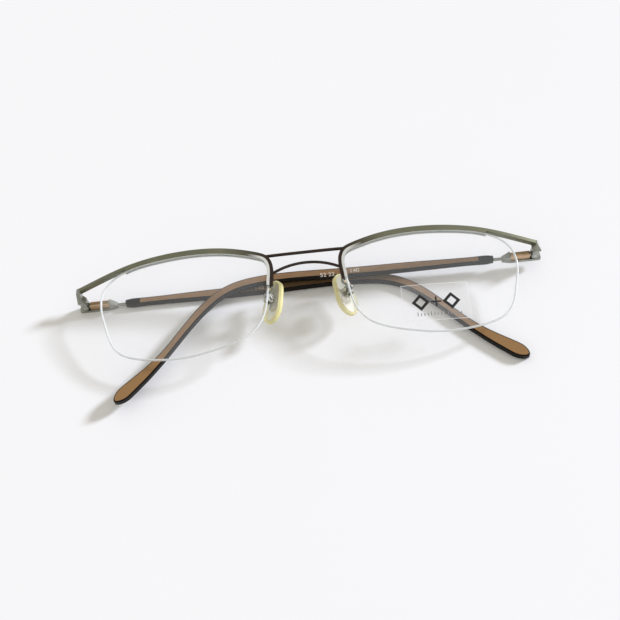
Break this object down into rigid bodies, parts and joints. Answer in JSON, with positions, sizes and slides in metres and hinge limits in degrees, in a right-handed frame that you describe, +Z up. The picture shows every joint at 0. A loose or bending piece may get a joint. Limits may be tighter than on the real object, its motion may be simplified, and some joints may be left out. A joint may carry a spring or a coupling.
{
  "type": "half rim eyeglasses",
  "caption": "Slim metal half rim eyeglasses lying folded: brow bars, double bridge, corded clear lenses, nose pads, spring hinged temples with laminated sleeves.",
  "frame": {"origin": "middle of the bounding box at its base, on the surface the folded glasses lie on", "axes": "+X along the front to the wearer's left, +Y towards the brow, +Z up out of the front face"},
  "size_m": [0.1388, 0.0435, 0.0148],
  "materials": {
    "bar_lacquer": "satin lacquer, olive gunmetal to dark brown",
    "channel_metal": "satin lacquer",
    "satin_metal": "satin silver grey",
    "housing_metal": "satin with a copper tint",
    "bright_screw": "polished",
    "dark_metal": "dark plated",
    "demo_lens": "clear polished",
    "clear_nylon": "clear drawn line",
    "pad_silicone": "translucent pale yellow",
    "dark_acetate": "polished dark brown to black",
    "copper_acetate": "polished copper brown"
  },
  "bodies": {
    "front": {"left_brow_bar": "bar_lacquer", "left_end_piece": "satin_metal", "left_hinge_knuckles": "satin_metal", "left_hinge_screw": "bright_screw", "left_lens": "demo_lens", "left_lens_cord": "clear_nylon", "left_pad_arm": "satin_metal", "left_pad_box": "satin_metal", "left_pad_screw": "bright_screw", "left_rim_channel": "channel_metal", "left_rim_liner": "clear_nylon", "lower_bridge": "bar_lacquer", "right_brow_bar": "bar_lacquer", "right_end_piece": "satin_metal", "right_hinge_knuckles": "satin_metal", "right_hinge_screw": "bright_screw", "right_lens": "demo_lens", "right_lens_cord": "clear_nylon", "right_pad_arm": "satin_metal", "right_pad_box": "satin_metal", "right_pad_screw": "bright_screw", "right_rim_channel": "channel_metal", "right_rim_liner": "clear_nylon", "upper_bridge": "bar_lacquer"},
    "right_pad": {"right_nose_pad": "pad_silicone", "right_pad_core": "dark_metal"},
    "left_pad": {"left_nose_pad": "pad_silicone", "left_pad_core": "dark_metal"},
    "right_slider": {"right_hinge_slider": "satin_metal", "right_hinge_spring": "bright_screw", "right_slider_retainer": "bright_screw"},
    "left_slider": {"left_hinge_slider": "satin_metal", "left_hinge_spring": "bright_screw", "left_slider_retainer": "bright_screw"},
    "right_temple": {"right_spring_housing": "housing_metal", "right_temple_core": "satin_metal", "right_temple_inlay": "copper_acetate", "right_temple_plate": "satin_metal", "right_temple_sleeve": "dark_acetate"},
    "left_temple": {"left_spring_housing": "housing_metal", "left_temple_core": "satin_metal", "left_temple_inlay": "copper_acetate", "left_temple_plate": "satin_metal", "left_temple_sleeve": "dark_acetate"}
  },
  "joints": [
    {"name": "right_fold", "type": "hinge", "parent": "front", "child": "right_slider", "pos_m": [-0.0676, 0.01367, 0.0023], "axis": [0, 1, 0], "range_deg": [0, 95]},
    {"name": "right_spring_slide", "type": "slide", "parent": "right_slider", "child": "right_temple", "axis": [1, 0, 0], "range_m": [0, 0.001], "stiffness_N_per_m": 2000, "deforming": ["right_hinge_spring"]},
    {"name": "right_pad_rock", "type": "hinge", "parent": "front", "child": "right_pad", "pos_m": [-0.01156, 0.00473, 0.00829], "axis": [-0.766, 0.1182, -0.6318], "range_deg": [-8, 8]},
    {"name": "left_fold", "type": "hinge", "parent": "front", "child": "left_slider", "pos_m": [0.0676, 0.01367, 0.0048], "axis": [0, -1, 0], "range_deg": [0, 95]},
    {"name": "left_spring_slide", "type": "slide", "parent": "left_slider", "child": "left_temple", "axis": [-1, 0, 0], "range_m": [0, 0.001], "stiffness_N_per_m": 2000, "deforming": ["left_hinge_spring"]},
    {"name": "left_pad_rock", "type": "hinge", "parent": "front", "child": "left_pad", "pos_m": [0.01156, 0.00473, 0.00829], "axis": [0.766, 0.1182, -0.6318], "range_deg": [-8, 8]}
  ]
}
